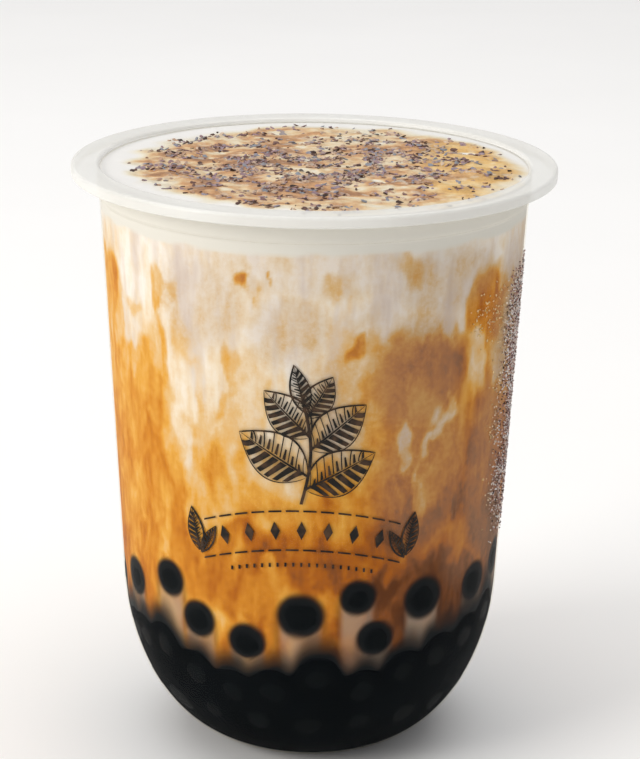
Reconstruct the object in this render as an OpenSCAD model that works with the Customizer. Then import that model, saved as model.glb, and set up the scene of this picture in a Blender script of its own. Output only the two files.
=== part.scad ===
// Bubble tea in a clear moulded cup with a round, U-shaped bottom and a sealing flange.
// A cream foam cap lies on brown sugar milk, which fills the cup round a heap of tapioca
// pearls and round the single pearls that are pressed against the wall above the heap.
// The origin is the middle of the foot. +Z is up, and the printed front faces -Y.

/* [Cup] */
// Height from the foot to the top of the rim
cup_h = 119; // [95:1:150]
// Outside diameter that the side wall reaches at the height of the rim
body_d = 84.8; // [70:0.2:104]
// Draft of the side wall, in degrees
wall_draft = 2.8; // [1:0.1:4]
// Thickness of the moulded wall
wall_t = 0.9; // [0.6:0.05:1.4]
// Thickness of the floor
floor_t = 1.3; // [0.9:0.1:2.5]
// Height of the rounded bowl under the side wall
bowl_h = 34; // [28:1:44]
// Diameter of the flat foot
foot_d = 30; // [24:1:40]

/* [Rim] */
// How far the rim stands out from the side wall
rim_overhang = 5.1; // [4:0.1:7]
// Height of the collar, from its step to the top of the rim
collar_h = 6.5; // [4:0.5:9]
// How far the collar steps out from the side wall
collar_step = 0.4; // [0.2:0.1:0.8]
// Thickness of the flange that the sealing film is welded to
flange_t = 1; // [0.7:0.1:1.5]
// Height of the lip that turns down from the flange
lip_h = 2.2; // [1.8:0.1:4]
// Thickness of that lip
lip_t = 0.9; // [0.6:0.1:1.4]
// Radius of the rim's rounded top edges
rim_round = 0.7; // [0.3:0.1:0.9]

/* [Foam] */
// Depth of the foam at the wall
foam_depth = 11; // [8:0.5:20]
// Distance from the foam's edge up to the top of the rim
foam_gap = 1.1; // [0.8:0.1:4]
// Rise of the foam's middle over its edge
foam_crown = 0.5; // [0:0.1:1]
// Height of the soft waves in the foam
foam_relief = 0.35; // [0:0.05:0.6]

/* [Pearls] */
// Diameter of a usual cooked pearl
pearl_d = 9; // [7:0.5:11]
// Height of the heap's edge, between the bumps
heap_h = 27; // [22:0.5:31]
// Rise of the heap towards the middle of the cup
heap_rise = 13; // [0:0.5:16]
// How much lower the heap's edge is at the front than at the sides
heap_lean = 2; // [0:0.5:4]
// Gap between neighbours in the heap, less than nothing where they are squeezed
heap_gap = -0.4; // [-1:0.1:1]
// How far a pearl of the heap can lie above or below its neighbours
heap_wave = 2.5; // [0:0.5:4]
// Share of a pearl's radius that is left between its centre and the wall that flattens it
press = 0.7; // [0.55:0.05:0.95]
// Least gap between the pearls that stand round the back of the cup
back_gap = 0.9; // [0.6:0.1:3]
// Height of the pearls round the back, over the heap's edge
back_lift = 10; // [7:0.5:14]
// How far the heights of those pearls vary
back_wave = 3.5; // [0:0.5:4]

/* [Hidden] */
// Single pearls at the front. Each has its way round the wall from the front line and its height
// over the heap's edge, both in widths of a usual pearl, and its own width as a share of that.
FRONT_PEARLS = [
    [-4.25, 1.2, 1.05],
    [-3.0, 1.65, 1],
    [-2.25, 0.9, 1],
    [-1.2, 0.6, 1],
    [-0.15, 1.3, 1.2],
    [0.95, 1.7, 0.95],
    [1.3, 0.7, 1],
    [2.3, 1.45, 1.15],
    [3.8, 1.35, 1.1]
];

foot_r = foot_d / 2;
collar_z = cup_h - collar_h;
foam_z = cup_h - foam_depth;
foam_edge_z = cup_h - foam_gap;
rim_r = body_d / 2 + rim_overhang;

arc_steps = 16;   // chords in the bowl's curve
round_steps = 4;  // chords in the rim's rounded edges
sides = 90;       // facets round the foam, the drink and the heap
heap_rings = 11;  // rings of facets across the heap
foam_rings = 8;   // rings of facets across the foam
pearl_fn = 48;

// Radius of the outside of the side wall at height z
function wall_r(z) = body_d / 2 - (cup_h - z) * tan(wall_draft);

// Points [radius, height] up a bowl that starts level at the foot and runs smoothly into the wall
function bowl_points(top_r, low_z) =
    let (
        q = tan(wall_draft) * (bowl_h - low_z) / (top_r - foot_r),
        end = acos(q / (1 - q))
    )
    [
        for (i = [0 : arc_steps])
            let (t = end * i / arc_steps)
            [
                foot_r + (top_r - foot_r) * sin(t) / sin(end),
                low_z + (bowl_h - low_z) * (1 - cos(t)) / (1 - cos(end))
            ]
    ];

// A quarter of a circle round [r, z], from one angle to another
function corner(r, z, radius, from, to) = [
    for (i = [0 : round_steps])
        let (t = from + (to - from) * i / round_steps)
        [r + radius * cos(t), z + radius * sin(t)]
];

// The inside of the cup, from the floor up to the mouth
mouth_r = wall_r(cup_h) + collar_step - wall_t;
inner_line = concat(
    bowl_points(wall_r(bowl_h) - wall_t, floor_t),
    [
        [wall_r(collar_z) - wall_t, collar_z],
        [wall_r(collar_z) + collar_step - wall_t, collar_z + collar_step],
        [mouth_r, cup_h]
    ]
);
inner_table = [for (p = inner_line) [p[1], p[0]]];
function inner_r(z) = lookup(z, inner_table);

// A point at radius r, at an angle from the front line, at height z
function polar(r, angle, z) = [r * sin(angle), -r * cos(angle), z];
function ring(r, z) = [for (i = [0 : sides - 1]) polar(r, 360 * i / sides, z)];

// A closed solid through rings of points, from a point at its bottom to one at its top.
// From ring number turn on, the rings run inwards and their facets are cut the other way,
// so that two solids that share a surface share its facets.
module ring_solid(bottom, rings, top, turn) {
    count = len(rings);
    points = concat([bottom], [for (r = rings) each r], [top]);
    function at(k, i) = 1 + k * sides + i % sides;
    polyhedron(
        points = points,
        faces = concat(
            [for (i = [0 : sides - 1]) [0, at(0, i), at(0, i + 1)]],
            [
                for (k = [0 : count - 2], i = [0 : sides - 1])
                    let (
                        a = at(k, i),
                        b = at(k, i + 1),
                        c = at(k + 1, i),
                        d = at(k + 1, i + 1)
                    )
                    each k < turn ? [[a, c, d], [a, d, b]] : [[a, c, b], [c, d, b]]
            ],
            [for (i = [0 : sides - 1]) [len(points) - 1, at(count - 1, i + 1), at(count - 1, i)]]
        )
    );
}

// ---- The heap ----

heap_pitch = pearl_d + heap_gap;
heap_edge_r = inner_r(heap_h);
first_row_r = heap_edge_r - 0.3 * heap_pitch;
row_count = floor(first_row_r / heap_pitch);

function row_r(row) = first_row_r - row * heap_pitch;
function row_pearls(row) = max(1, floor(2 * PI * row_r(row) / heap_pitch));

// Height of the nearest pearl's domed top, over the level between the pearls
function dome(r, angle) =
    let (
        row = min(row_count, max(0, round((first_row_r - r) / heap_pitch))),
        step = 360 / row_pearls(row),
        n = round(angle / step),
        along = (angle - n * step) * PI / 180 * row_r(row),
        d = min(1, norm([r - row_r(row), along]) / (heap_pitch / 2)),
        own_rise = heap_wave * sin(137 * (n % row_pearls(row)) + 71 * row)
    )
    heap_pitch * 0.375 * sqrt(1 - d * d) + own_rise * (1 - d * d);

// Height of the heap's top at radius r, a share of the way from its middle to the wall
function heap_z(share, r, angle) =
    heap_h + heap_rise * (1 - pow(share, 4)) - heap_lean * share * cos(angle) + dome(r, angle);
heap_top = [0, 0, heap_z(0, 0, 0)];

// Ring number k of that surface, where ring heap_rings lies against the wall
function heap_ring(k) = [
    for (i = [0 : sides - 1])
        let (
            angle = 360 * i / sides,
            share = k / heap_rings,
            z = heap_z(share, heap_edge_r * share, angle),
            r = k < heap_rings ? heap_edge_r * share : inner_r(z)
        )
        polar(r, angle, z)
];

// A ring against the wall, a share of the way from the heap's edge to an even height
function wall_ring(share, even_z) = [
    for (i = [0 : sides - 1])
        let (
            angle = 360 * i / sides,
            edge_z = heap_z(1, heap_edge_r, angle),
            z = edge_z + share * (even_z - edge_z)
        )
        polar(inner_r(z), angle, z)
];

// The heap's edge lies between these heights. Under and over them, the rings are even.
heap_low = heap_h - heap_lean - heap_wave;
heap_high = max(bowl_h, heap_h + heap_lean + heap_wave + 0.3 * heap_pitch) + 1;
heap_side = [for (p = inner_line) if (p[1] < heap_low - 1) ring(p[0], p[1])];

module heap_body() {
    ring_solid(
        [0, 0, floor_t],
        concat(
            heap_side,
            [wall_ring(0.5, heap_low - 1)],
            [for (k = [heap_rings : -1 : 1]) heap_ring(k)]
        ),
        heap_top,
        len(heap_side) + 1
    );
}

// ---- The single pearls ----

// Half the width of the flat that the wall presses on a pearl
function flat_r(d) = d / 2 * sqrt(1 - press * press);

// Distance from the cup's axis to the centre of a pearl whose flat lies against the wall
function seat_r(height, d) = sqrt(pow(inner_r(height), 2) - pow(flat_r(d), 2)) - press * d / 2;

// How far the inside of the wall leans outwards there, in degrees
function lean(height) = atan((inner_r(height + 2) - inner_r(height - 2)) / 4);

// Each single pearl's angle from the front line, height and diameter
front_pearls = [
    for (p = FRONT_PEARLS)
        let (
            height = heap_h + p[1] * pearl_d,
            d = p[2] * pearl_d
        )
        [p[0] * pearl_d / seat_r(height, d) * 180 / PI, height, d]
];

// The rest of the way round, in even steps as close as the least gap allows
back_h = heap_h + back_lift;
back_from = front_pearls[len(front_pearls) - 1][0];
back_way = 360 - back_from + front_pearls[0][0];
back_pitch = (pearl_d + back_gap) / seat_r(back_h, pearl_d) * 180 / PI;
back_count = floor(back_way / back_pitch) - 1;
back_pearls = [
    for (i = [1 : back_count])
        [
            back_from + back_way * i / (back_count + 1),
            back_h + back_wave * sin(100 * i),
            pearl_d + 0.4 * sin(77 * i)
        ]
];
pearls = concat(front_pearls, back_pearls);

// Moves a shape whose +Z points at the wall to where pearl p has its centre
module at_seat(p) {
    translate(polar(seat_r(p[1], p[2]), p[0], p[1]))
        rotate([90 + lean(p[1]), 0, p[0]])
            children();
}

module pearl_ball(p) {
    at_seat(p) sphere(d = p[2], $fn = pearl_fn);
}

// ---- The nodes ----

function pearl_name(i) = str("pearl_", i < 9 ? "0" : "", i + 1);

module cup() {
    flange_z = cup_h - flange_t;
    flange_r = wall_r(flange_z) + collar_step;
    lip_r = rim_r - lip_t;
    color([0.93, 0.93, 0.91, 0.45])
        rotate_extrude($fn = sides)
            polygon(concat(
                [[0, 0]],
                bowl_points(wall_r(bowl_h), 0),
                [[wall_r(collar_z), collar_z], [wall_r(collar_z) + collar_step, collar_z + collar_step]],
                [[flange_r, flange_z - rim_round], [flange_r + rim_round, flange_z]],
                [[lip_r, flange_z], [lip_r, cup_h - lip_h]],
                [[rim_r - lip_t / 3, cup_h - lip_h], [rim_r, cup_h - lip_h + lip_t / 3]],
                corner(rim_r - rim_round, cup_h - rim_round, rim_round, 0, 90),
                corner(mouth_r + rim_round, cup_h - rim_round, rim_round, 90, 180),
                [for (i = [len(inner_line) - 2 : -1 : 0]) inner_line[i]],
                [[0, floor_t]]
            ));
}

module pearl_heap() {
    color([0.07, 0.08, 0.09]) difference() {
        heap_body();
        for (p = pearls) pearl_ball(p);
    }
}

drink_side = concat(
    [for (share = [0.25 : 0.25 : 1]) wall_ring(share, heap_high)],
    [for (p = inner_line) if (p[1] > heap_high && p[1] < foam_z) ring(p[0], p[1])]
);

module drink_body() {
    ring_solid(
        heap_top,
        concat(
            [for (k = [1 : heap_rings]) heap_ring(k)],
            drink_side,
            [ring(inner_r(foam_z), foam_z)]
        ),
        [0, 0, foam_z],
        heap_rings + len(drink_side)
    );
}

module drink() {
    color([0.86, 0.62, 0.36]) difference() {
        drink_body();
        for (p = pearls) pearl_ball(p);
    }
}

// Height of the foam's top at a share of the way from its middle to its edge
function foam_top_z(share, angle) =
    let (
        crown = foam_crown * (1 - share * share),
        waves = sin(3 * angle + 300 * share) + 0.6 * sin(7 * angle - 500 * share)
    )
    foam_edge_z + crown + foam_relief * waves * share * (1 - pow(share, 6));

foam_side = [for (p = inner_line) if (p[1] > foam_z && p[1] < foam_edge_z) ring(p[0], p[1])];

function foam_ring(k) = [
    for (i = [0 : sides - 1])
        let (
            share = k / foam_rings,
            angle = 360 * i / sides
        )
        polar(inner_r(foam_edge_z) * share, angle, foam_top_z(share, angle))
];

module foam() {
    color([0.94, 0.9, 0.8])
        ring_solid(
            [0, 0, foam_z],
            concat(
                [ring(inner_r(foam_z), foam_z)],
                foam_side,
                [for (k = [foam_rings : -1 : 1]) foam_ring(k)]
            ),
            [0, 0, foam_top_z(0, 0)],
            1 + len(foam_side)
        );
}

module pearl(p) {
    color([0.05, 0.05, 0.06]) difference() {
        pearl_ball(p);
        at_seat(p)
            translate([-p[2], -p[2], press * p[2] / 2])
                cube(2 * p[2]);
    }
}

cup();
pearl_heap();
drink();
foam();
for (i = [0 : len(pearls) - 1]) pearl(pearls[i]);
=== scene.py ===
import math

import bmesh
import bpy
import numpy as np
from mathutils import Matrix, Vector


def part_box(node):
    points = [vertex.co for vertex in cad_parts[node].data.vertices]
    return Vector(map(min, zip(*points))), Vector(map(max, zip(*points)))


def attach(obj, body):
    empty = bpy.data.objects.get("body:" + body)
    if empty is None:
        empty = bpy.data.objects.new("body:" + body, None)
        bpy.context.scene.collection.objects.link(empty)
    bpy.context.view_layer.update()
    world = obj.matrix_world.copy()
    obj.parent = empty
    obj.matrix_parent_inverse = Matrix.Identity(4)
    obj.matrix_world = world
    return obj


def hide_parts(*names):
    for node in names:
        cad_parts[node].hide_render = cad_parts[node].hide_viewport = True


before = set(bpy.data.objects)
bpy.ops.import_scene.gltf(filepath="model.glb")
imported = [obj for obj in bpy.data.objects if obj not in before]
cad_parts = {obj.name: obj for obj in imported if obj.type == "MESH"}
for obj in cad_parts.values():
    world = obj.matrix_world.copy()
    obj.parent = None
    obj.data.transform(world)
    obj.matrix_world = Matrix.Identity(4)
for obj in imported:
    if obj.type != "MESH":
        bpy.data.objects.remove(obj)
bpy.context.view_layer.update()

scene = bpy.context.scene


# ---- Camera, table and light ----
# The drink stands on a pale table. One looks at it from half a metre off and a little from above,
# under the large soft lights of a food studio.
scene.view_settings.view_transform = "Standard"

EYE_DISTANCE = 0.475
EYE_TILT = math.radians(17.57)
EYE_ROLL = math.radians(0.73)
LOOK_AT = Vector((0.0016, 0.0, 0.0740))
LENS_MM = 111.9

camera_data = bpy.data.cameras.new("camera")
camera_data.lens = LENS_MM
camera_data.sensor_width = 36
camera = bpy.data.objects.new("camera", camera_data)
scene.collection.objects.link(camera)
sight = Vector((0, math.cos(EYE_TILT), -math.sin(EYE_TILT)))
turn = Matrix.Rotation(math.pi / 2 - EYE_TILT, 4, "X") @ Matrix.Rotation(EYE_ROLL, 4, "Z")
camera.matrix_world = Matrix.Translation(LOOK_AT - sight * EYE_DISTANCE) @ turn
scene.camera = camera


def paint(code):
    """The linear colour, with alpha, of an sRGB hex code."""
    parts = [int(code[i:i + 2], 16) / 255 for i in (1, 3, 5)]
    return [c / 12.92 if c <= 0.04045 else ((c + 0.055) / 1.055) ** 2.4 for c in parts] + [1.0]


def add(tree, kind, inputs=(), **settings):
    """Adds a node, sets its properties, and sets or links its inputs, by name or number."""
    node = tree.nodes.new(kind)
    for name, value in settings.items():
        setattr(node, name, value)
    for key, value in dict(inputs).items():
        if isinstance(value, bpy.types.NodeSocket):
            tree.links.new(value, node.inputs[key])
        else:
            node.inputs[key].default_value = value
    return node


def blank_material(name):
    """A material with an empty node tree, and that tree."""
    material = bpy.data.materials.new(name)
    material.use_nodes = True
    material.node_tree.nodes.clear()
    return material, material.node_tree


def surface(tree, inputs):
    """Ends a material's tree in one surface, which has these inputs."""
    skin = add(tree, "ShaderNodeBsdfPrincipled", inputs)
    add(tree, "ShaderNodeOutputMaterial", {"Surface": skin.outputs[0]})


def noise(tree, scale, detail, place=None, **inputs):
    """Noise in lumps of one over scale, over the object's own space unless another place is given."""
    place = place or add(tree, "ShaderNodeTexCoord").outputs["Object"]
    inputs = {"Vector": place, "Scale": scale, "Detail": detail, **inputs}
    return add(tree, "ShaderNodeTexNoise", inputs).outputs[0]


def between(tree, share, colour, other):
    """Goes from one colour to the other by a share. A colour is a hex code or a socket."""
    ends = {k: paint(c) if isinstance(c, str) else c for k, c in ((6, colour), (7, other))}
    return add(tree, "ShaderNodeMix", {0: share, **ends}, data_type="RGBA").outputs[2]


def shown(name, mesh):
    """An object of a mesh, in the scene."""
    piece = bpy.data.objects.new(name, mesh)
    scene.collection.objects.link(piece)
    return piece


# Matte painted board: no gloss, and a faint unevenness that is coarser than a brush mark
table_paint, tree = blank_material("matte painted board")
tone = between(tree, noise(tree, 9.0, 3.0), "#f3f2f0", "#f7f6f4")
surface(tree, {"Base Color": tone, "Roughness": 0.9, "Specular IOR Level": 0.1})

TABLE = 12   # metres from the table's middle to its edge
table_mesh = bpy.data.meshes.new("table")
corners = [(-TABLE, -TABLE, 0), (TABLE, -TABLE, 0), (TABLE, TABLE, 0), (-TABLE, TABLE, 0)]
table_mesh.from_pydata(corners, [], [(0, 1, 2, 3)])
table_mesh.materials.append(table_paint)
table = shown("table", table_mesh)

world = bpy.data.worlds.new("studio")
world.use_nodes = True
world.node_tree.nodes["Background"].inputs["Color"].default_value = paint("#fdfdff")
world.node_tree.nodes["Background"].inputs["Strength"].default_value = 0.46
scene.world = world


def softbox(name, place, aim, size, power, colour):
    """A square diffused lamp at a place, turned towards what it lights."""
    lamp = bpy.data.lights.new(name, "AREA")
    lamp.shape = "SQUARE"
    lamp.size = size
    lamp.energy = power
    lamp.color = paint(colour)[:3]
    box = bpy.data.objects.new(name, lamp)
    turned = (Vector(aim) - Vector(place)).to_track_quat("-Z", "Y").to_matrix().to_4x4()
    box.matrix_world = Matrix.Translation(place) @ turned
    scene.collection.objects.link(box)


softbox("key_light", (-1.3, -0.75, 0.75), (0, 0, 0.06), 0.8, 15.8, "#fffcf8")
softbox("fill_light", (1.1, -0.9, 0.35), (0, 0, 0.06), 0.9, 1.0, "#f6f8ff")
softbox("top_light", (0.0, 0.35, 1.6), (0, 0.35, 0.0), 2.0, 18.0, "#ffffff")


# ---- Cup ----
# The cup is injection moulded from clear polypropylene, in one piece. A draft of a few degrees lets
# it off the mould, a small step stops stacked cups from jamming, and the flange takes the film.
MM = 0.001
CUP_H = (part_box("cup")[1][2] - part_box("cup")[0][2]) / MM
RIM_R = (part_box("cup")[1][0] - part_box("cup")[0][0]) / 2 / MM
BODY_R, DRAFT = 42.4, math.radians(2.8)
WALL, FLOOR = 0.9, 1.3
BOWL_H, FOOT_R = 34.0, 15.0
COLLAR_H, COLLAR_STEP = 6.5, 0.4
FLANGE, LIP_H, LIP = 1.0, 2.2, 0.9
SIDES = 480          # points round the contents
CUP_SIDES = 256      # and round the cup
PLASTIC_IOR = 1.49


def bowl_shape(depth):
    """The bowl's curve this deep under its outside: its lowest height, width, height and last angle."""
    low = FLOOR * depth / WALL
    wide = BODY_R - (CUP_H - BOWL_H) * math.tan(DRAFT) - depth - FOOT_R
    q = math.tan(DRAFT) * (BOWL_H - low) / wide
    end = math.acos(q / (1 - q))
    return low, wide / math.sin(end), (BOWL_H - low) / (1 - math.cos(end)), end


def wall_r(z, depth=0.0):
    """Radius of the cup's wall at height z, this deep under its outside, in millimetres."""
    z = np.asarray(z, float)
    straight = BODY_R - (CUP_H - z) * math.tan(DRAFT) - depth
    straight = straight + COLLAR_STEP * np.clip((z - CUP_H + COLLAR_H) / COLLAR_STEP, 0, 1)
    low, wide, high, end = bowl_shape(depth)
    drop = 1 - np.clip((z - low) / high, 0, 1)
    return np.where(z >= BOWL_H, straight, FOOT_R + wide * np.sqrt(1 - drop ** 2))


def bowl_line(depth, steps=40):
    """Radius and height up the bowl, this deep under its outside."""
    low, wide, high, end = bowl_shape(depth)
    return [(FOOT_R + wide * math.sin(a), low + high * (1 - math.cos(a))) for a in np.linspace(0, end, steps)]


def around(r, z, angles):
    """Points in metres at radius r and height z in millimetres, at angles from the front in radians."""
    r, z, angles = np.broadcast_arrays(r, z, angles)
    return np.stack([r * np.sin(angles), -r * np.cos(angles), z], -1) * MM


def rounded(corners, steps=5):
    """A line of radius and height with each corner rounded, where a corner is r, z and its radius."""
    line = []
    for k, (r, z, radius) in enumerate(corners):
        here = np.array([r, z])
        if radius == 0 or k in (0, len(corners) - 1):
            line.append((r, z))
            continue
        back = np.array(corners[k - 1][:2]) - here
        ahead = np.array(corners[k + 1][:2]) - here
        back, ahead = back / np.linalg.norm(back), ahead / np.linalg.norm(ahead)
        for t in [-0.12] + list(np.linspace(0, 1, steps)) + [1.12]:
            s = min(max(t, 0), 1)
            spot = here + radius * ((1 - s) ** 2 * back + s ** 2 * ahead)
            spot = spot + radius * (back * max(-t, 0) + ahead * max(t - 1, 0))
            line.append(tuple(spot))
    return line


def closed_skin(name, rows):
    """A smooth closed mesh object through rows of points round the cup's axis, from below to above."""
    rows = np.asarray(rows)
    count, sides = rows.shape[:2]
    points = np.concatenate([rows.reshape(-1, 3), rows[0].mean(0)[None], rows[-1].mean(0)[None]])
    k, i = np.meshgrid(np.arange(count - 1), np.arange(sides), indexing="ij")
    j = (i + 1) % sides
    walls = np.stack([k * sides + i, k * sides + j, (k + 1) * sides + j, (k + 1) * sides + i], -1)
    i = np.arange(sides)
    j = (i + 1) % sides
    floor = np.stack([np.full(sides, count * sides), j, i], -1)
    last = (count - 1) * sides
    lid = np.stack([np.full(sides, count * sides + 1), last + i, last + j], -1)
    mesh = bpy.data.meshes.new(name)
    mesh.from_pydata(points.tolist(), [], walls.reshape(-1, 4).tolist() + floor.tolist() + lid.tolist())
    mesh.shade_smooth()
    return shown(name, mesh)


collar_z, flange_z, mouth_r = CUP_H - COLLAR_H, CUP_H - FLANGE, BODY_R + COLLAR_STEP - WALL
outside = bowl_line(0) + [(wall_r(z), z) for z in np.linspace(BOWL_H + 6, collar_z - 3, 8)]
outside += rounded([
    (wall_r(collar_z - 2), collar_z - 2, 0), (wall_r(collar_z), collar_z, 0.3),
    (wall_r(collar_z) + COLLAR_STEP, collar_z + COLLAR_STEP, 0.3),
    (wall_r(flange_z), flange_z, 0.7), (RIM_R - LIP, flange_z, 0.25),
    (RIM_R - LIP, CUP_H - LIP_H, 0.25), (RIM_R, CUP_H - LIP_H, 0.35), (RIM_R, CUP_H, 0.7),
    (mouth_r, CUP_H, 0.7), (wall_r(collar_z + 0.6) - WALL, collar_z + 0.6, 0.2),
    (wall_r(collar_z) - WALL, collar_z, 0.2), (wall_r(collar_z - 3) - WALL, collar_z - 3, 0),
])
inside = [(wall_r(z) - WALL, z) for z in np.linspace(collar_z - 6, BOWL_H + 6, 7)] + bowl_line(WALL)[::-1]
turns = np.arange(CUP_SIDES) / CUP_SIDES * 2 * math.pi
cup = closed_skin("clear_cup", [around(r, z, turns) for r, z in outside + inside])

# Clear polypropylene: a polished mould leaves it glossy, thin walls pass the light straight through,
# and it reflects little. It tints what is behind it hardly at all.
clear_wall, tree = blank_material("clear moulded polypropylene")
fresnel = add(tree, "ShaderNodeFresnel", {"IOR": PLASTIC_IOR})
share = add(tree, "ShaderNodeMapRange", {
    "Value": fresnel.outputs[0], "From Min": 0.03, "From Max": 1.0, "To Min": 0.0015, "To Max": 0.09})
through = add(tree, "ShaderNodeBsdfTransparent", {"Color": paint("#fbfaf6")})
gloss = add(tree, "ShaderNodeBsdfAnisotropic", {"Color": paint("#ffffff"), "Roughness": 0.2})
mixed = add(tree, "ShaderNodeMixShader", {0: share.outputs[0], 1: through.outputs[0], 2: gloss.outputs[0]})
add(tree, "ShaderNodeOutputMaterial", {"Surface": mixed.outputs[0]})

# The same plastic, thick in the flange and lip, where its slight cloudiness adds up to a milky white
milky_rim, tree = blank_material("cloudy polypropylene rim")
tone = between(tree, noise(tree, 90.0, 2.0), "#e9e7e1", "#f3f3ef")
surface(tree, {"Base Color": tone, "Roughness": 0.3, "IOR": PLASTIC_IOR, "Alpha": 0.6})

cup.data.materials.append(clear_wall)
cup.data.materials.append(milky_rim)
heights = np.array([f.center[2] for f in cup.data.polygons]) / MM
cup.data.polygons.foreach_set("material_index", (heights > CUP_H - LIP_H - 0.4).astype(int))
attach(cup, "root")
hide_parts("cup")


# ---- Tapioca pearls ----
# Boiled balls of tapioca starch, dyed black by brown sugar, soft and sticky. They lie heaped in the
# bowl in thick dark syrup, and single ones are pressed against the wall above the heap.
# Light bends in the wall so that the contents seem to fill it, so they reach well into it here.
PEARL = 9.0
PRESS = 0.7          # share of a pearl's radius that is left between its centre and the wall
PITCH = 8.7          # from pearl to pearl in the heap, as they squash a little
PEARL_DEPTH, SYRUP_DEPTH = 0.20, 0.26   # how deep under the wall's outside these start
HEAP_EDGE = 27.0
BACK_LIFT, BACK_WAVE = 10.0, 3.5        # height of the pearls at the back over that edge, and its change
FRONT_PEARLS = [
    # way round the wall, height over the heap's edge, width, all in widths of a usual pearl
    (-4.25, 1.2, 1.05), (-3.0, 1.65, 1.0), (-2.25, 0.9, 1.0), (-1.2, 0.6, 1.0), (-0.15, 1.3, 1.2),
    (0.95, 1.7, 0.95), (1.3, 0.7, 1.0), (2.3, 1.45, 1.15), (3.8, 1.35, 1.1),
]


def keep_in(points, depth):
    """Moves points in metres that lie past the cup's wall onto it, this deep under its outside."""
    low, wide, high, end = bowl_shape(depth)
    t = np.linspace(-0.4, end, 60)
    line_r = FOOT_R + wide * np.sin(np.maximum(t, 0)) + 30 * np.minimum(t, 0)
    line_z = low + high * (1 - np.cos(np.maximum(t, 0)))
    slope = np.arctan2(BOWL_H - line_z, line_r)
    reach = np.hypot(BOWL_H - line_z, line_r)
    order = np.argsort(slope)
    p = points / MM
    r, z = np.hypot(p[:, 0], p[:, 1]), p[:, 2]
    under = z < BOWL_H
    allowed = np.interp(np.arctan2(BOWL_H - z, r), slope[order], reach[order])
    now = np.hypot(BOWL_H - z, r)
    shrink = np.where(under, np.minimum(1, allowed / np.maximum(now, 1e-6)), 1.0)
    p = np.stack([p[:, 0] * shrink, p[:, 1] * shrink, BOWL_H + (z - BOWL_H) * shrink], -1)
    r = np.hypot(p[:, 0], p[:, 1])
    shrink = np.where(under, 1.0, np.minimum(1, wall_r(p[:, 2], depth) / np.maximum(r, 1e-6)))
    p[:, :2] *= shrink[:, None]
    return p * MM


def seat_r(z, width):
    """Distance from the axis to the centre of a pearl that the wall flattens."""
    flat = width / 2 * math.sqrt(1 - PRESS ** 2)
    return float(np.sqrt(wall_r(z, WALL) ** 2 - flat ** 2)) - PRESS * width / 2


single_pearls = []
for way, lift, share in FRONT_PEARLS:
    z, width = HEAP_EDGE + lift * PEARL, share * PEARL
    single_pearls.append((way * PEARL / seat_r(z, width), z, width))
singles = [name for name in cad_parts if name.startswith("pearl_") and name != "pearl_heap"]
back_count = len(singles) - len(FRONT_PEARLS)
back_from = single_pearls[-1][0]
back_way = 2 * math.pi - back_from + single_pearls[0][0]
for i in range(1, back_count + 1):
    z = HEAP_EDGE + BACK_LIFT + BACK_WAVE * math.sin(math.radians(100 * i))
    width = PEARL + 0.4 * math.sin(math.radians(77 * i))
    single_pearls.append((back_from + back_way * i / (back_count + 1), z, width))

# The heap shows as rings of pearls against the bowl, one on its floor, and a crest of uneven height
luck = np.random.default_rng(7)
heap_pearls = []
for row, (z, off_wall) in enumerate([(3.5, 6.5), (8.0, 6.5), (15.0, 3.4)]):
    seat = float(wall_r(z, WALL)) - off_wall
    count = int(2 * math.pi * seat / PITCH)
    for n in range(count):
        heap_pearls.append(((n + 0.5 * (row % 2)) / count * 2 * math.pi + luck.uniform(-0.02, 0.02),
                            z + luck.uniform(-0.8, 0.8), PEARL + luck.uniform(-0.4, 0.4), seat))
heap_pearls.append((0, 4.5, PEARL, 0))
crest = [(math.radians(a), z) for a, z in (
    (-62, 26.0), (-50, 27.0), (-37, 23.6), (-24, 21.4), (-11, 22.6), (3, 25.8), (17, 22.4), (30, 25.2),
    (43, 27.0), (56, 28.4), (69, 30.4))]
crest += [(math.radians(82 + 13 * n), 27.0 + 2.2 * math.sin(2.3 * n)) for n in range(17)]
heap_pearls += [(a, z, PEARL, float(wall_r(z, WALL)) - 3.3) for a, z in crest]

# Cooked tapioca: black with brown sugar, and even in colour. Where it lies against the plastic or in
# milk it has no gloss of its own.
tapioca, tree = blank_material("cooked black tapioca")
tone = between(tree, noise(tree, 320.0, 3.0), "#070a0c", "#0e1317")
surface(tree, {"Base Color": tone, "Roughness": 0.6, "Specular IOR Level": 0.02})


def growing_tree(name, inputs):
    """A geometry tree and its input node. The inputs say which kind of socket goes with each name."""
    tree = bpy.data.node_groups.new(name, "GeometryNodeTree")
    for title, kind in {"Geometry": "Geometry", **inputs}.items():
        tree.interface.new_socket(title, in_out="INPUT", socket_type="NodeSocket" + kind)
    tree.interface.new_socket("Geometry", in_out="OUTPUT", socket_type="NodeSocketGeometry")
    return tree, add(tree, "NodeGroupInput")


def dented(tree, geometry, scale, depth):
    """Moves each point by half this depth at most, in lumps of one over scale."""
    spot = add(tree, "GeometryNodeInputPosition")
    lumps = add(tree, "ShaderNodeTexNoise", {"Vector": spot.outputs[0], "Scale": scale, "Detail": 0.0})
    centred = add(tree, "ShaderNodeVectorMath", {0: lumps.outputs["Color"], 1: (0.5, 0.5, 0.5)},
                  operation="SUBTRACT")
    offset = add(tree, "ShaderNodeVectorMath", {0: centred.outputs[0], 3: depth}, operation="SCALE")
    moved = add(tree, "GeometryNodeSetPosition", {"Geometry": geometry, "Offset": offset.outputs[0]})
    return moved.outputs[0]


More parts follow.
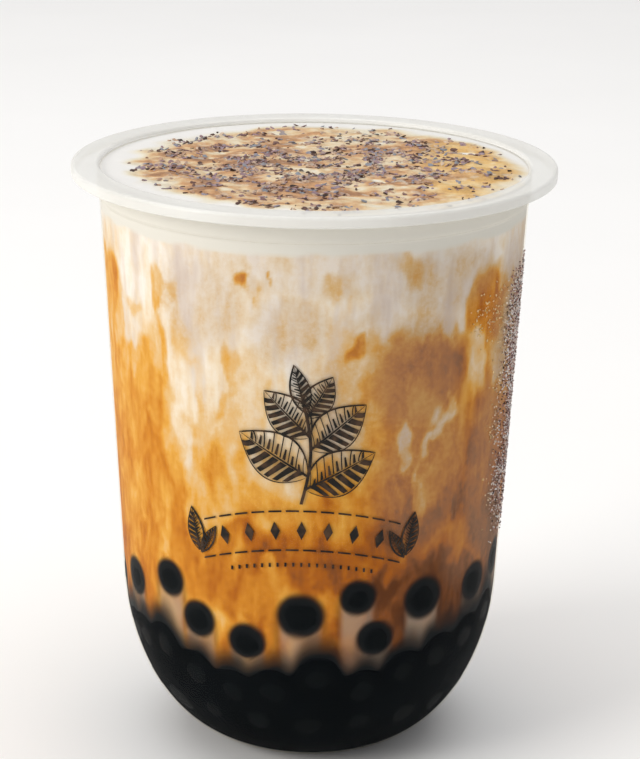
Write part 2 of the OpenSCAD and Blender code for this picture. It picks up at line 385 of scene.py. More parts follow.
# The tree puts a ball at each point of its host, as wide as the point says, and dents it a little
pearl_tree, given = growing_tree("pearls on points", {"Dents": "Float", "Material": "Material"})
ball = add(pearl_tree, "GeometryNodeMeshIcoSphere", {"Radius": 0.5, "Subdivisions": 4})
width = add(pearl_tree, "GeometryNodeInputNamedAttribute", {"Name": "width"}, data_type="FLOAT")
placed = add(pearl_tree, "GeometryNodeInstanceOnPoints", {
    "Points": given.outputs["Geometry"], "Instance": ball.outputs["Mesh"], "Scale": width.outputs[0]})
real = add(pearl_tree, "GeometryNodeRealizeInstances", {"Geometry": placed.outputs[0]})
soft = dented(pearl_tree, real.outputs[0], 210.0, given.outputs["Dents"])
smooth = add(pearl_tree, "GeometryNodeSetShadeSmooth", {"Geometry": soft})
dressed = add(pearl_tree, "GeometryNodeSetMaterial",
              {"Geometry": smooth.outputs[0], "Material": given.outputs["Material"]})
add(pearl_tree, "NodeGroupOutput", {"Geometry": dressed.outputs[0]})


def points_of(mesh):
    """The mesh's points in metres, one in each row."""
    spots = np.empty(len(mesh.vertices) * 3)
    mesh.vertices.foreach_get("co", spots)
    return spots.reshape(-1, 3)


def note(mesh, name, values):
    """Writes one value at each point of the mesh, under this name."""
    values = np.ravel(values).astype(np.float32)
    mesh.attributes.new(name, "FLOAT", "POINT").data.foreach_set("value", values)


def grown(name, host, tree, values):
    """A plain mesh object of what a tree makes on a host, which is then removed. Values go by name."""
    grower = host.modifiers.new("grow", "NODES")
    grower.node_group = tree
    for socket in tree.interface.items_tree:
        if socket.in_out == "INPUT" and socket.name in values:
            grower[socket.identifier] = values[socket.name]
    graph = bpy.context.evaluated_depsgraph_get()
    mesh = bpy.data.meshes.new_from_object(host.evaluated_get(graph))
    bpy.data.objects.remove(host)
    mesh.name = name
    return shown(name, mesh)


def pearls(name, centres, widths):
    """Real pearls at these centres, in metres, flattened where they press on the wall."""
    host_mesh = bpy.data.meshes.new(name)
    host_mesh.from_pydata([tuple(c) for c in centres], [], [])
    note(host_mesh, "width", np.array(widths) * MM)
    piece = grown(name, shown(name, host_mesh), pearl_tree, {"Dents": 0.0009, "Material": tapioca})
    piece.data.vertices.foreach_set("co", keep_in(points_of(piece.data), PEARL_DEPTH).ravel())
    piece.data.update()
    return piece


wall_pearls = pearls("wall_pearls", [around(seat_r(z, w), z, a) for a, z, w in single_pearls],
                     [w for a, z, w in single_pearls])
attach(wall_pearls, "root")
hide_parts(*[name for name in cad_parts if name.startswith("pearl_") and name != "pearl_heap"])

pearl_heap = pearls("heaped_pearls", [around(seat, z, a) for a, z, w, seat in heap_pearls],
                    [w for a, z, w, seat in heap_pearls])
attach(pearl_heap, "root")
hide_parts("pearl_heap")


# ---- Syrup round the heap ----
# Brown sugar syrup has run down between the pearls. It is thick and almost black, fills the bowl out
# to the wall, and thins out towards the milk.
MID_R = 40     # the wall's radius half-way up


def smoothstep(x):
    """From 0 to 1 as x goes from 0 to 1, level at both ends."""
    x = np.clip(x, 0, 1)
    return x * x * (3 - 2 * x)


def uneven(u, v, seed, cells=64):
    """Smooth unevenness from -1 to 1 in lumps of one unit. Across, it repeats after so many lumps."""
    rows = 64
    grid = np.random.default_rng(seed).uniform(-1, 1, (cells, rows))
    i, j = np.floor(u).astype(int), np.floor(v).astype(int)
    fu, fv = smoothstep(u - i), smoothstep(v - j)
    near = grid[i % cells, j % rows] * (1 - fu) + grid[(i + 1) % cells, j % rows] * fu
    far = grid[i % cells, (j + 1) % rows] * (1 - fu) + grid[(i + 1) % cells, (j + 1) % rows] * fu
    return near * (1 - fv) + far * fv


def swirl(angle, height, across, along, seed):
    """Unevenness in lumps this many millimetres across and along, with no seam round the cup."""
    cells = max(3, round(2 * math.pi * MID_R / across))
    return uneven(angle / (2 * math.pi) * cells, height / along + 8, seed, cells)


def turn_from(angle, other):
    """How far round one angle is from the other, from half a turn back to half a turn on."""
    return (angle - other + math.pi) % (2 * math.pi) - math.pi


def syrup_edge(angle):
    """Height of the syrup's edge at the wall: it coats the tops of the pearls in the crest."""
    wall_here, coated = 37.0, 4.8
    z = np.full(np.shape(angle), 19.0)
    for a, centre in crest:
        away = turn_from(angle, a) * wall_here
        top = centre - 0.6 + np.sqrt(np.maximum(0, coated ** 2 - away ** 2))
        z = np.maximum(z, np.where(np.abs(away) < coated, top, 0))
    return z


angles = np.arange(SIDES) / SIDES * 2 * math.pi
edge = syrup_edge(angles)
for step in range(6):
    edge = (np.roll(edge, 1) + 2 * edge + np.roll(edge, -1)) / 4
low, wide, high, end = bowl_shape(SYRUP_DEPTH)
even_end = end * 0.82
even_top = low + high * (1 - math.cos(even_end))
rows = [around(FOOT_R * 0.5, low, angles)]
for share in np.linspace(0, 1, 64):
    z = low + high * (1 - math.cos(share * even_end))
    z = z + (edge - even_top) * smoothstep(np.array((share - 0.4) / 0.6))
    rows.append(around(wall_r(z, SYRUP_DEPTH), z, angles))
for share in (0.97, 0.9, 0.75, 0.5, 0.25):
    rows.append(around(wall_r(edge, SYRUP_DEPTH) * share, edge + 2 * (share - 1), angles))
syrup = closed_skin("dark_syrup", rows)

# Thick syrup: close to black, with no gloss of its own where it wets the plastic
dark_syrup, tree = blank_material("thick brown sugar syrup")
tone = between(tree, noise(tree, 120.0, 2.0), "#06080a", "#0c1014")
surface(tree, {"Base Color": tone, "Roughness": 0.6, "Specular IOR Level": 0.0})
syrup.data.materials.append(dark_syrup)
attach(syrup, "root")


# ---- Brown sugar milk ----
# Cold milk is poured over syrup that was smeared round the inside of the cup. The syrup hangs on the
# wall in amber streaks and runs, the milk stays white between them, and both settle brown below.
FOAM_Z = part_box("foam")[0][2] / MM
SMEAR_Z = FOAM_Z + 3.4   # as high as a film of milk is left on the wall, in front of the foam
SMEAR = 0.3              # how thick that film is
STREAKS = [
    # angle and height, half its width in degrees, half its height, how much syrup, how surely
    (-78, 75, 16, 34, 0.55, 0.8), (-74, 100, 9, 6, 0.62, 0.7), (-66, 62, 12, 26, 0.62, 0.75),
    (-52, 66, 12, 20, 0.60, 0.8), (-55, 50, 16, 8, 0.55, 0.8), (-44, 80, 3, 8, 0.62, 0.6),
    (-54, 84, 10, 5, 0.55, 0.7), (-54, 98, 11, 9, 0.08, 0.8), (-68, 108, 14, 6, 0.15, 0.7),
    (-60, 92, 4, 5, 0.10, 0.6), (-40, 103, 5, 3, 0.42, 0.8), (-40, 102, 2, 1.6, 0.15, 0.8),
    (-44, 100, 1.2, 5, 0.50, 0.8), (-43, 90, 1.5, 6, 0.50, 0.7), (-50, 91, 4, 3, 0.20, 0.7),
    (-56, 94, 6, 1.6, 0.45, 0.6), (-36, 84, 3.2, 7, 0.04, 0.9), (-38, 74, 2.2, 8, 0.20, 0.8),
    (-36, 68, 1.2, 8, 0.12, 0.7), (-35, 60, 1.6, 6, 0.30, 0.6), (-24, 103, 14, 8, 0.06, 0.8),
    (-10, 98, 12, 6, 0.12, 0.8), (-17, 103, 1.8, 2, 0.60, 0.95), (-11, 104, 1.2, 1.8, 0.52, 0.9),
    (5, 106, 6, 3.5, 0.36, 0.8), (25, 107, 5, 3.5, 0.38, 0.8), (-5, 107, 5, 4, 0.08, 0.8),
    (14, 108, 3, 4, 0.1, 0.7), (40, 106, 9, 5, 0.14, 0.8), (13, 100, 3, 6, 0.20, 0.6),
    (-2, 88, 9, 6, 0.08, 0.7), (13, 91, 2.2, 2.4, 0.62, 0.95), (-27, 87, 5, 6, 0.18, 0.7),
    (-20, 86, 2, 6, 0.50, 0.7), (-24, 80, 3, 3, 0.50, 0.6), (-30, 73, 2.5, 4, 0.35, 0.6),
    (-28, 66, 5, 6, 0.60, 0.6), (-12, 82, 8, 8, 0.20, 0.6), (-8, 70, 12, 6, 0.30, 0.5),
    (4, 76, 10, 6, 0.15, 0.6), (12, 66, 6, 5, 0.35, 0.5), (30, 90, 14, 6, 0.80, 0.75),
    (38, 86, 8, 8, 0.85, 0.8), (24, 86, 6, 6, 0.75, 0.6), (42, 76, 5, 6, 0.62, 0.6),
    (24, 66, 5, 5, 0.66, 0.6), (38, 66, 6, 6, 0.62, 0.7), (34, 62, 3, 6, 0.35, 0.6),
    (48, 96, 5, 5, 0.70, 0.8), (58, 97, 10, 7, 0.78, 0.8), (50, 86, 5, 5, 0.22, 0.7),
    (56, 80, 5, 1.6, 0.66, 0.8), (62, 86, 6, 6, 0.30, 0.7), (0, 50, 22, 7, 0.86, 0.85),
    (-22, 50, 10, 7, 0.78, 0.7), (-30, 47, 8, 6, 0.70, 0.7), (-14, 46, 3, 3, 0.45, 0.7),
    (20, 50, 10, 6, 0.66, 0.6), (0, 58, 20, 5, 0.60, 0.6), (36, 52, 8, 5, 0.70, 0.7),
    (48, 50, 8, 5, 0.60, 0.6), (58, 46, 6, 3, 0.75, 0.6), (-46, 48, 4, 3, 0.35, 0.5),
    (20, 84, 5, 5, 0.70, 0.7), (29, 70, 4, 8, 0.68, 0.7), (44, 68, 5, 8, 0.72, 0.7),
    (25, 74.5, 2.4, 3.5, 0.16, 0.85), (27, 71, 1.5, 2.5, 0.3, 0.7), (37, 76, 4.5, 1.6, 0.2, 0.8),
    (33, 74, 2, 2.6, 0.3, 0.7), (40, 79, 1.5, 2.5, 0.3, 0.7), (31, 66, 1, 6, 0.38, 0.7),
    (52, 62, 2, 8, 0.78, 0.7),
]
# Spots of fogged plastic and of painted shade. They dull and darken the milk, most on the right side, which
# faces away from the key light.
FOGGED_AND_SHADED = [
    # angle, height, half its width in degrees, half its height, how much fog and painted shade lie there
    (62, 62, 16, 24, 0.9), (70, 90, 14, 20, 0.9), (36, 104, 18, 8, 0.6),
    (0, 108, 40, 7, 0.35), (-30, 100, 14, 10, 0.5), (-6, 96, 12, 8, 0.5),
    (50, 50, 10, 10, 0.5), (75, 60, 12, 40, 0.8), (30, 86, 17, 14, 0.9), (34, 66, 18, 18, 0.75),
    (20, 96, 12, 8, 0.4), (46, 104, 12, 6, 0.6), (8, 80, 12, 14, 0.4),
]


def maths(tree, operation, *values, **settings):
    """The result of one operation on sockets and numbers."""
    return add(tree, "ShaderNodeMath", dict(enumerate(values)), operation=operation, **settings).outputs[0]


def spread(tree, value, start, end, most=1.0):
    """From 0 to the most as the value goes from start to end."""
    return add(tree, "ShaderNodeMapRange",
               {"Value": value, "From Min": start, "From Max": end, "To Max": most}).outputs[0]


def noted(tree, name):
    """What the mesh's attribute of this name holds."""
    return add(tree, "ShaderNodeAttribute", attribute_name=name).outputs["Fac"]


def ramp(tree, share, colours):
    """A colour from a list of places from 0 to 1, each with its hex code."""
    node = add(tree, "ShaderNodeValToRGB", {"Fac": share})
    stops = node.color_ramp.elements
    while len(stops) < len(colours):
        stops.new(0.5)
    for stop, (position, code) in zip(stops, colours):
        stop.position = position
        stop.color = paint(code)
    return node.outputs[0]


def over(ground, angle, height, spot_angle, spot_height, wide, tall, value, strength):
    """Lays a soft spot of one value over the ground, as a brush does."""
    away = turn_from(angle, math.radians(spot_angle))
    d = np.hypot(away / math.radians(wide), (height - spot_height) / tall)
    return ground + (value - ground) * strength * smoothstep((1.25 - d) / 0.7)


# The milk domes over the heap, goes up the wall, and steps in where the film ends and the foam lies
share = np.concatenate([[0, 0.0003], np.linspace(0.006, 0.994, 150), [0.9997, 1]])[:, None]
z = edge + (SMEAR_Z - edge) * share
rows = [around(wall_r(edge, SYRUP_DEPTH) * reach, edge + 14 * (1 - reach ** 4), angles)
        for reach in (0.05, 0.4, 0.7, 0.9, 0.985)]
rows += list(around(wall_r(z, SYRUP_DEPTH), z, angles))
rows += [around(wall_r(SMEAR_Z, SYRUP_DEPTH) - SMEAR, SMEAR_Z, angles)]
rows += [around((wall_r(FOAM_Z, SYRUP_DEPTH) - SMEAR) * reach, FOAM_Z, angles)
         for reach in (1, 0.97, 0.5, 0.1)]
milk = closed_skin("brown_sugar_milk", rows)

# How much syrup is on the wall: little at the top, more below and on the right, then the streaks and last the
# fine runs, all of it dragged about a little by the milk. The extra syrup on the right is partly a painted
# shade of that side, which faces away from the key light.
x, y, z = points_of(milk.data).T / MM
angle = np.arctan2(x, -y)
drift = angle + (1.8 * swirl(angle, z, 8, 14, 1) + 1.3 * swirl(angle, z, 3, 5, 2)
                 + 0.6 * swirl(angle, z, 1.4, 2.4, 9)) / MID_R
sag = (z + 3.0 * swirl(angle, z, 7, 16, 3) + 2.0 * swirl(angle, z, 2.6, 5, 4)
       + 0.9 * swirl(angle, z, 1.3, 2.2, 10))
syrup_share = 0.16 + 0.46 * smoothstep((100 - sag) / 60) - 0.10 * smoothstep((sag - 94) / 9)
# Partly painted shade: this term darkens the right side with more syrup
syrup_share += (0.34 * smoothstep((np.degrees(drift) - 6) / 18) * smoothstep((94 - sag) / 10)
                * smoothstep((100 - np.degrees(drift)) / 30))
for streak in STREAKS:
    syrup_share = over(syrup_share, drift, sag, *streak)
runs = 0.6 * swirl(drift, sag, 3.2, 17, 5) + 0.4 * swirl(drift, sag, 1.6, 9, 6)
syrup_share += 0.13 * runs + 0.09 * swirl(drift, sag, 5, 7, 7) + 0.08 * swirl(drift, sag, 2.0, 3, 8)
# The fog spots, which also carry painted shade
fog_and_shade = np.zeros_like(z)
for spot_angle, spot_height, wide, tall, much in FOGGED_AND_SHADED:
    fog_and_shade = np.maximum(fog_and_shade, over(np.zeros_like(z), angle, z, spot_angle, spot_height, wide, tall, 1.0, much))

# Thin milk shows the pearls behind it, so it darkens round them. Under each one, where it keeps the
# syrup off the wall, a pale column of milk reaches down to the heap.
PEARLS_R = 38   # the wall's radius beside the single pearls
pale, dark = np.zeros_like(z), np.zeros_like(z)
for spot_angle, height, w in single_pearls:
    away = turn_from(angle, spot_angle) * PEARLS_R
    below = smoothstep((height - z) / 2.5) * (1 - smoothstep((np.abs(away) - w * 0.28) / 1.6))
    pale = np.maximum(pale, below * (0.75 + 0.25 * swirl(angle, z, 2.5, 4, 14)))
    side = np.exp(-((np.abs(away) - w * 0.42) / 0.7) ** 2) * smoothstep((height + 1 - z) / 3) * 0.22
    ball = 1 - smoothstep((np.hypot(away, z - height) - w * 0.33) / (w * 0.17))
    dark = np.maximum(dark, np.maximum(ball, side))
edge_here = np.interp(angle % (2 * math.pi), np.append(angles, 2 * math.pi), np.append(edge, edge[0]))
over_heap = z - edge_here + 1.1 * swirl(angle, z, 3, 4, 13) - 0.4
shadow = np.maximum(1 - smoothstep(over_heap / 1.8), 0.88 * (1 - smoothstep((over_heap + 1.2) / 8)))
dark = np.maximum(dark, shadow)
dark = 1 - (1 - np.clip(dark, 0, 1)) ** 2.2

# Up to the foam the film turns to plain cream, over a ragged line
over_line = z - SMEAR_Z
ragged = 2.4 - 2.0 * swirl(angle, z * 0, 11, 9, 12) - 1.2 * swirl(angle, z, 3, 3, 15)
head = smoothstep((over_line + ragged) / 4.0)
head = np.maximum(0.75 * head, smoothstep((over_line + 1.6 + 0.5 * swirl(angle, z, 4, 3, 16)) / 1.0))
for name, values in (("syrup", np.clip(syrup_share, 0, 1)), ("fog_and_shade", fog_and_shade), ("pale", pale), ("dark", dark),
                     ("head", head)):
    note(milk.data, name, values)

# Milk with brown sugar syrup: opaque and matte, as the plastic it wets takes the gloss. The more syrup
# there is in it, the further it goes from white through amber to brown.
marbled_milk, tree = blank_material("milk marbled with brown sugar")
place = add(tree, "ShaderNodeTexCoord").outputs["Object"]
stretched = add(tree, "ShaderNodeMapping", {"Vector": place, "Scale": (1.0, 1.0, 0.25)}).outputs[0]
threads = maths(tree, "MULTIPLY_ADD", noise(tree, 520.0, 3.0, stretched, Roughness=0.55), 0.3, -0.15)
curds = maths(tree, "SUBTRACT", noise(tree, 850.0, 2.0, Roughness=0.7), 0.5)
grainy = maths(tree, "MULTIPLY_ADD", noted(tree, "fog_and_shade"), 0.28, 0.16)
streaked = maths(tree, "ADD", noted(tree, "syrup"), threads)
mix = maths(tree, "ADD", streaked, maths(tree, "MULTIPLY", curds, grainy), use_clamp=True)
now = ramp(tree, mix, [(0.0, "#f3ece6"), (0.15, "#ecdcc6"), (0.32, "#e3c08c"), (0.48, "#e0a64a"),
                       (0.62, "#cf872c"), (0.78, "#b0641f"), (0.9, "#87502b"), (1.0, "#653b20")])
# Where hardly any syrup has gone the milk is cool, with a hint of mauve from the tapioca's starch
clouds = noise(tree, 190.0, 3.0, stretched, Roughness=0.6)
cool = maths(tree, "MULTIPLY", spread(tree, clouds, 0.46, 0.68, 0.62), spread(tree, mix, 0.4, 0.1))
now = between(tree, cool, now, "#cdbdb9")
# The first colour is fog and painted shade: a dull brown laid over the milk where the right side lies in
# shade
for name, code, most in (("fog_and_shade", "#a5856e", 0.55), ("head", "#e3e1dd", 1.0), ("pale", "#a69585", 0.85),
                         ("dark", "#12161a", 1.0)):
    now = between(tree, maths(tree, "MULTIPLY", noted(tree, name), most), now, code)
surface(tree, {"Base Color": now, "Roughness": 0.6, "Specular IOR Level": 0.05})
milk.data.materials.append(marbled_milk)
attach(milk, "root")
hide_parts("drink")


# ---- Cream foam ----
# Thick cream foam is spooned on the milk until it all but fills the cup. Its top is strewn with brown
# sugar and scorched with a torch: tan and golden where the sugar melted, white round the edge.
FOAM_TOP = CUP_H - 1.1
CRUMB_CROWD = 1900000   # crumbs to the square metre where they lie thickest
foam_r = float(wall_r(FOAM_TOP, SYRUP_DEPTH))


def lumpy(x, y, across, along, seed, shift=20):
    """Unevenness of the foam's top in lumps this many millimetres across and along."""
    return uneven(x / across + shift, y / along + shift, seed)


def scorched(x, y):
    """From 0 to 1 where the torch went over the foam: all of it but a ragged edge."""
    reach = np.hypot((x - 2.2) / 39.3, (y + 1.6) / 39.6)
    return smoothstep((1.02 - reach + 0.05 * lumpy(x, y, 5, 5, 24)) / 0.17)


rows = [around((wall_r(FOAM_Z, SYRUP_DEPTH) - SMEAR) * reach, FOAM_Z + 0.05, angles)
        for reach in (0.4, 0.97, 0.9995)]
rows += [around(wall_r(SMEAR_Z, SYRUP_DEPTH) - SMEAR - 0.02, SMEAR_Z, angles)]
side = np.concatenate([[SMEAR_Z, SMEAR_Z + 0.02], np.linspace(SMEAR_Z + 0.6, FOAM_TOP, 15)])
rows += [around(wall_r(z, SYRUP_DEPTH), z, angles) for z in side]
rings = foam_r * np.linspace(0.995, 0.01, 92)[:, None]
x, y = rings * np.sin(angles), rings * -np.cos(angles)
reach = np.hypot(x, y) / foam_r
lumps = 0.5 * lumpy(x, y, 6.5, 6.5, 21) + 0.32 * lumpy(x, y, 2.8, 2.8, 22)
lumps += 0.22 * lumpy(x, y, 1.3, 1.3, 23, 32)
z = FOAM_TOP + smoothstep((1 - reach) / 0.1) * (0.25 + lumps * (0.15 + 0.42 * scorched(x, y)))
rows += list(np.stack([x, y, z], -1) * MM)
foam = closed_skin("cream_foam", rows)

# The top is brown in patches, most at the front left, golden on the right, and strewn across its middle
x, y, z = points_of(foam.data).T / MM
torched = scorched(x, y) * smoothstep((z - FOAM_TOP + 0.25) / 0.2)
brown = (0.65 + 0.16 * np.exp(-((x + 14) / 15) ** 2 - ((y + 18) / 12) ** 2) + 0.34 * lumpy(x, y, 7, 5, 25)
         + 0.24 * lumpy(x, y, 2.8, 2, 26) + 0.16 * lumpy(x, y, 1.3, 1, 27, 32))
golden = smoothstep((x - 16 + 8 * lumpy(x, y, 9, 9, 28)) / 14) * torched
strewn = torched * (0.30 + 0.70 * np.exp(-((x + 4) / 24) ** 2)) * (0.35 + 0.65 * np.exp(-((y - 1) / 15) ** 2))
strewn = strewn * (0.10 + 1.1 * smoothstep(0.35 + 1.3 * lumpy(x, y, 4.0, 2.6, 29)))
for name, values in (("scorch", np.clip(brown, 0, 1) * torched), ("golden", golden),
                     ("dust", np.clip(strewn * 1.3, 0, 1)), ("crumbs", strewn * CRUMB_CROWD)):
    note(foam.data, name, values)

# Cream foam: dense, matte and opaque, with bubbles too fine to see. Melted sugar tints it from cream
# through tan to brown, and wetter sugar goes golden.
scorched_cream, tree = blank_material("scorched cream foam")
specks = noise(tree, 900.0, 3.0, Roughness=0.6)
scorch = noted(tree, "scorch")
fine = maths(tree, "MULTIPLY_ADD", specks, 0.5, -0.25)
much = maths(tree, "ADD", maths(tree, "MULTIPLY", fine, scorch), scorch, use_clamp=True)
now = ramp(tree, much, [(0.0, "#e3e1dd"), (0.25, "#ddd4bd"), (0.5, "#d6bb92"), (0.72, "#c4966a"),
                        (1.0, "#997050")])
now = between(tree, maths(tree, "MULTIPLY", noted(tree, "golden"), 0.55), now, "#e0b766")
pale_veins = spread(tree, noise(tree, 330.0, 2.0), 0.56, 0.66, 0.4)
now = between(tree, maths(tree, "MULTIPLY", pale_veins, scorch), now, "#dfe2d6")
speckled = spread(tree, specks, 0.40, 0.62, 0.75)
now = between(tree, maths(tree, "MULTIPLY", noted(tree, "dust"), speckled), now, "#84716c")
dents = maths(tree, "MULTIPLY", noise(tree, 700.0, 2.0, Roughness=0.6), scorch)
bubbled = add(tree, "ShaderNodeBump", {"Height": dents, "Strength": 0.8, "Distance": 0.0009})
surface(tree, {"Base Color": now, "Roughness": 0.55, "Specular IOR Level": 0.2, "Normal": bubbled.outputs[0]})
foam.data.materials.append(scorched_cream)
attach(foam, "root")
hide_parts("foam")


# ---- Crumbs on the foam ----
# Flakes of burnt sugar and cocoa biscuit are strewn over the foam, thickest across the middle. Each is
# a flat irregular chip, two millimetres long at most, that has sunk in a little.
crumb_tree, given = growing_tree("strewn chips", {
    "Smallest chip": "Vector", "Largest chip": "Vector", "Most tilt": "Float", "Facets": "Int",
    "Crowding name": "String", "Material": "Material"})
crowd = add(crumb_tree, "GeometryNodeInputNamedAttribute", {"Name": given.outputs["Crowding name"]},
            data_type="FLOAT")
strewn = add(crumb_tree, "GeometryNodeDistributePointsOnFaces",
             {"Mesh": given.outputs["Geometry"], "Density": crowd.outputs[0], "Seed": 3})
shade = add(crumb_tree, "FunctionNodeRandomValue", {"Seed": 5}, data_type="FLOAT")
toned = add(crumb_tree, "GeometryNodeStoreNamedAttribute",
            {"Geometry": strewn.outputs["Points"], "Name": "tone", "Value": shade.outputs[1]},
            data_type="FLOAT", domain="POINT")
chip = add(crumb_tree, "GeometryNodeMeshIcoSphere", {"Radius": 0.5, "Subdivisions": given.outputs["Facets"]})
turned = add(crumb_tree, "FunctionNodeRandomValue", {"Min": (0, 0, 0), "Max": (1, 1, 6.283), "Seed": 6},
             data_type="FLOAT_VECTOR")
tilts = add(crumb_tree, "ShaderNodeCombineXYZ",
            {0: given.outputs["Most tilt"], 1: given.outputs["Most tilt"], 2: 1.0})
leaning = add(crumb_tree, "ShaderNodeVectorMath", {0: turned.outputs[0], 1: tilts.outputs[0]},
              operation="MULTIPLY")
spun = add(crumb_tree, "FunctionNodeEulerToRotation", {0: leaning.outputs[0]})
facing = add(crumb_tree, "FunctionNodeRotateRotation", {0: strewn.outputs["Rotation"], 1: spun.outputs[0]},
             rotation_space="LOCAL")
sizes = add(crumb_tree, "FunctionNodeRandomValue",
            {"Min": given.outputs["Smallest chip"], "Max": given.outputs["Largest chip"], "Seed": 7},
            data_type="FLOAT_VECTOR")
placed = add(crumb_tree, "GeometryNodeInstanceOnPoints",
             {"Points": toned.outputs[0], "Instance": chip.outputs["Mesh"], "Rotation": facing.outputs[0],
              "Scale": sizes.outputs[0]})
real = add(crumb_tree, "GeometryNodeRealizeInstances", {"Geometry": placed.outputs[0]})
rough = dented(crumb_tree, real.outputs[0], 1500.0, 0.0005)
dressed = add(crumb_tree, "GeometryNodeSetMaterial",
              {"Geometry": rough, "Material": given.outputs["Material"]})
add(crumb_tree, "NodeGroupOutput", {"Geometry": dressed.outputs[0]})

# Burnt sugar and cocoa biscuit: matte, from near black through plum and grey to tan, each chip its own
burnt_crumb, tree = blank_material("burnt sugar and cocoa biscuit")
tone = ramp(tree, noted(tree, "tone"), [(0.0, "#2e211d"), (0.2, "#7a5a50"), (0.4, "#a98f98"),
                                        (0.58, "#8d97a2"), (0.75, "#c09a80"), (1.0, "#e0c8ae")])
speck = maths(tree, "MULTIPLY", noise(tree, 2500.0, 2.0), 0.5)
tone = between(tree, speck, tone, "#4d3d39")
surface(tree, {"Base Color": tone, "Roughness": 0.7, "Specular IOR Level": 0.25})

crumbs = grown("foam_crumbs", shown("strewn_over", foam.data.copy()), crumb_tree, {
    "Smallest chip": (0.0004, 0.0004, 0.0002), "Largest chip": (0.0022, 0.0013, 0.0004), "Most tilt": 0.5,
    "Facets": 2, "Crowding name": "crumbs", "Material": burnt_crumb})
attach(crumbs, "root")


# ---- Printed sprig ----
# The cup is screen printed in one black ink: a sprig of tea leaves over two arched rules with a row of
# lozenges, plain ornaments of no particular shop. The ink lies on the wall in a thin film.
INK, INK_SUNK = 0.05, -0.02    # how far the film stands off the wall, and where it starts
PRINT_TURN = math.radians(-2.2)
film_points, film_faces = [], []


def stroke(one_side, other_side):
    """Prints what lies between two lines of points, each across and up the wall in millimetres."""
    first, count = len(film_points), len(one_side)
    for (u1, v1), (u2, v2) in zip(one_side, other_side):
        for u, v, lift in ((u1, v1, INK), (u2, v2, INK), (u2, v2, INK_SUNK), (u1, v1, INK_SUNK)):
            film_points.append(around(wall_r(v) + lift, v, PRINT_TURN + u / wall_r(v)))
    for k in range(count - 1):
        here = first + 4 * k
        film_faces.extend((here + i, here + (i + 1) % 4, here + 4 + (i + 1) % 4, here + 4 + i)
                          for i in range(4))
    end = first + 4 * (count - 1)
    film_faces.extend([(first, first + 1, first + 2, first + 3), (end + 3, end + 2, end + 1, end)])


def tea_leaf(base, lean, length, width, dark):
    """A leaf with its midrib, veins and edge in line, and one side of it filled between the veins."""
    base = np.array(base)
    along = np.array([math.sin(lean), math.cos(lean)])
    across = np.array([math.cos(lean), -math.sin(lean)])

    def half(s):
        return width * math.sin(math.pi * min(max(s, 0), 1) ** 0.85) ** 0.9

    def at(s, w):
        return base + along * length * s + across * w

    rise = 0.13   # how far a vein climbs towards the tip, as a share of the leaf
    steps = np.linspace(0.0, 1.0, 25)
    stroke([at(s, -0.22 * (1.1 - s)) for s in steps], [at(s, 0.22 * (1.1 - s)) for s in steps])
    for side in (-1, 1):
        filled = side == dark
        rim = 0.2 if filled else 0.38
        stroke([at(s, side * half(s)) for s in steps], [at(s, side * max(half(s) - rim, 0)) for s in steps])
        for k in range(7):
            start = 0.05 + 0.115 * k
            thick = 0.09 if filled else 0.02
            far = np.linspace(0.07, 0.9 if filled else 0.95, 7)
            near_edge = [start + rise * f for f in far]
            far_edge = [start + thick * (1 - 0.35 * f) + rise * f for f in far]
            stroke([at(s, side * f * half(s)) for s, f in zip(near_edge, far)],
                   [at(s, side * f * half(s)) for s, f in zip(far_edge, far)])
            if not filled:
                near, fork = np.linspace(0.08, 0.5, 4), start + 0.05
                stroke([at(fork + rise * f, side * f * half(fork)) for f in near],
                       [at(fork + 0.045 * (1 - f) + rise * f, side * f * half(fork)) for f in near])


def stem_at(v):
    """Sideways place of the bent stem at a height."""
    return 1.6 * math.sin((v - 62.5) / 6.5)


LEAVES = [
    # height on the stem, lean in degrees, length, half its width, which side is filled
    (65.0, 62, 15.0, 4.6, 1), (67.6, -58, 15.5, 4.9, -1), (73.0, 50, 13.5, 4.2, 1),
    (75.4, -44, 12.5, 3.9, -1), (79.2, 30, 9.5, 2.9, 1), (80.2, -14, 9.8, 2.0, 1),
]
for v, lean, length, width, dark in LEAVES:
    tea_leaf((stem_at(v), v), math.radians(lean), length, width, dark)
stem = np.linspace(62.0, 80.4, 20)
stroke([(stem_at(v) - 0.3, v) for v in stem], [(stem_at(v) + 0.3, v) for v in stem])


ARCH_DROP, ARCH_HALF = 5.0, 22   # the arched lines fall this far over half their span


def arch(u, v):
    """Height of an arched line that is v high in its middle."""
    return v - ARCH_DROP * (u / ARCH_HALF) ** 2


# The dashed rules, the lozenges between them, the small dashes below and a pair of leaves at each end
for top in (60.6, 52.6):
    for start in np.arange(-19.5, 19.0, 3.3):
        u = np.linspace(start, start + 2.5, 5)
        stroke([(k, arch(k, top) + 0.17) for k in u], [(k, arch(k, top) - 0.17) for k in u])
for k in range(7):
    centre = -15.0 + 5.0 * k
    tilt = -2 * ARCH_DROP * centre / ARCH_HALF ** 2
    f = np.linspace(-1, 1, 9)
    middle = [np.array([centre - tilt * 1.9 * g, arch(centre, 56.6) + 1.9 * g]) for g in f]
    stroke([m - np.array([0.9, 0.9 * tilt]) * (1 - abs(g)) for m, g in zip(middle, f)],
           [m + np.array([0.9, 0.9 * tilt]) * (1 - abs(g)) for m, g in zip(middle, f)])
for k in range(19):
    u = -13.5 + 1.5 * k
    v = arch(u, 49.6)
    stroke([(u - 0.22, v - 0.4), (u - 0.22, v + 0.4)], [(u + 0.22, v - 0.4), (u + 0.22, v + 0.4)])
for side in (-1, 1):
    tea_leaf((side * 20.6, 50.0), side * math.radians(12), 9.0, 1.9, side)
    tea_leaf((side * 20.2, 49.6), side * math.radians(-28), 7.0, 1.3, side)

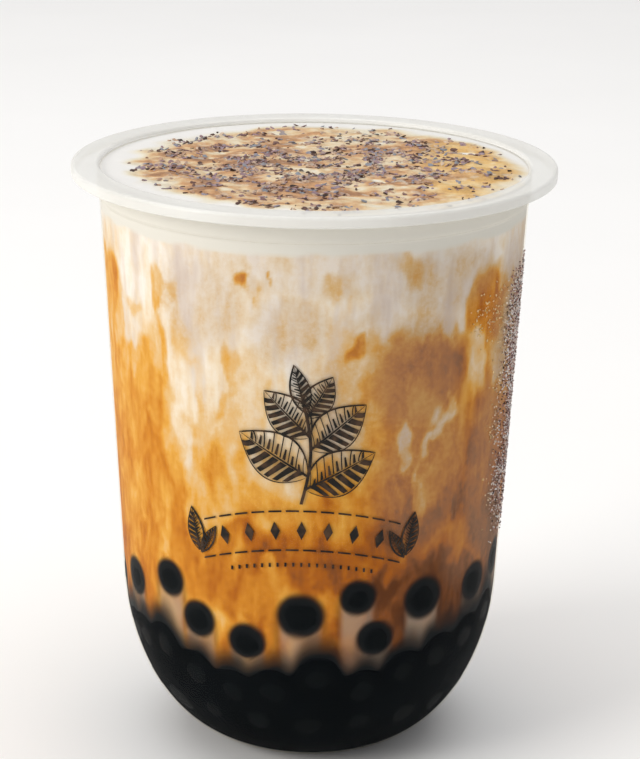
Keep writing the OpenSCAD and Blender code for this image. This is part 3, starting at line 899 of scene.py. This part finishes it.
sprig_mesh = bpy.data.meshes.new("printed_sprig")
sprig_mesh.from_pydata([tuple(p) for p in film_points], [], film_faces)
shaped = bmesh.new()
shaped.from_mesh(sprig_mesh)
bmesh.ops.recalc_face_normals(shaped, faces=shaped.faces)
shaped.to_mesh(sprig_mesh)
shaped.free()
sprig = shown("printed_sprig", sprig_mesh)

# Black screen ink, a little uneven where the mesh let less through, so the milk browns it in places
screen_ink, tree = blank_material("black screen printing ink")
thin = spread(tree, noise(tree, 500.0, 2.0), 0.45, 0.7)
tone = between(tree, thin, "#16130f", "#4a3524")
surface(tree, {"Base Color": tone, "Roughness": 0.5, "Specular IOR Level": 0.2})
sprig.data.materials.append(screen_ink)
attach(sprig, "root")


# ---- Water on the wall ----
# The cup comes out of the ice cold, so damp air wets it. Fine beads of water stand on its right side,
# thickest towards the edge, and each is a low dome.
DAMP_FROM, DAMP_TO = 38, 128          # degrees round the wall, from the front
DAMP_LOW, DAMP_HIGH = 42, 106         # height in millimetres
ACROSS, UP = 120, 70                  # points in the patch that carries the beads
BEAD_CROWD = 8000000                  # beads to the square metre where they stand thickest
turns = np.linspace(math.radians(DAMP_FROM), math.radians(DAMP_TO), ACROSS)
u, v = np.meshgrid(turns, np.linspace(DAMP_LOW, DAMP_HIGH, UP))
damp_points = around(wall_r(v), v, u).reshape(-1, 3)
k, i = np.meshgrid(np.arange(UP - 1), np.arange(ACROSS - 1), indexing="ij")
first = k * ACROSS + i
damp_faces = np.stack([first, first + 1, first + ACROSS + 1, first + ACROSS], -1).reshape(-1, 4)
damp_mesh = bpy.data.meshes.new("damp_wall")
damp_mesh.from_pydata(damp_points.tolist(), [], damp_faces.tolist())
glints = 0.5 * np.exp(-((np.degrees(u) - 57) / 7) ** 2 - ((v - 97) / 6) ** 2)
damp = (np.maximum(smoothstep((np.degrees(u) - 56) / 22), glints) * smoothstep((104 - v) / 12)
        * smoothstep((v - DAMP_LOW) / 25) * smoothstep((126 - np.degrees(u)) / 40))
damp = damp * (0.25 + 0.75 * smoothstep(0.5 + uneven(np.degrees(u) / 7, v / 5 + 20, 31)))
note(damp_mesh, "damp", damp * BEAD_CROWD)

# Water: clear, with its look painted in. Each bead has a tone of its own, from a painted dark where it bends
# the light away to a painted bright glint, and the beads nearest the front are painted gold, a painted
# reflection of the milk behind them.
beaded_water, tree = blank_material("beads of clear water")
# Painted glints and darks: each bead's random tone picks its colour, from dark brown to white
tone = ramp(tree, noted(tree, "tone"), [(0.0, "#3f2a22"), (0.25, "#8a625c"), (0.45, "#c4a09a"),
                                        (0.6, "#e6cab8"), (0.72, "#fff8f2"), (1.0, "#ffffff")])
place = add(tree, "ShaderNodeTexCoord").outputs["Object"]
depth = add(tree, "ShaderNodeSeparateXYZ", {0: place}).outputs["Y"]
# A painted gold reflection on the beads nearest the front
tone = between(tree, spread(tree, depth, -0.0165, -0.0205, 0.8), tone, "#ffdf9c")
surface(tree, {"Base Color": tone, "Roughness": 0.12, "IOR": 1.33, "Alpha": 0.72})

beads = grown("water_beads", shown("damp_wall", damp_mesh), crumb_tree, {
    "Smallest chip": (0.0002, 0.0002, 0.0002), "Largest chip": (0.00045, 0.0006, 0.0004), "Most tilt": 0.0,
    "Facets": 1, "Crowding name": "damp", "Material": beaded_water})
beads.data.shade_smooth()
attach(beads, "root")
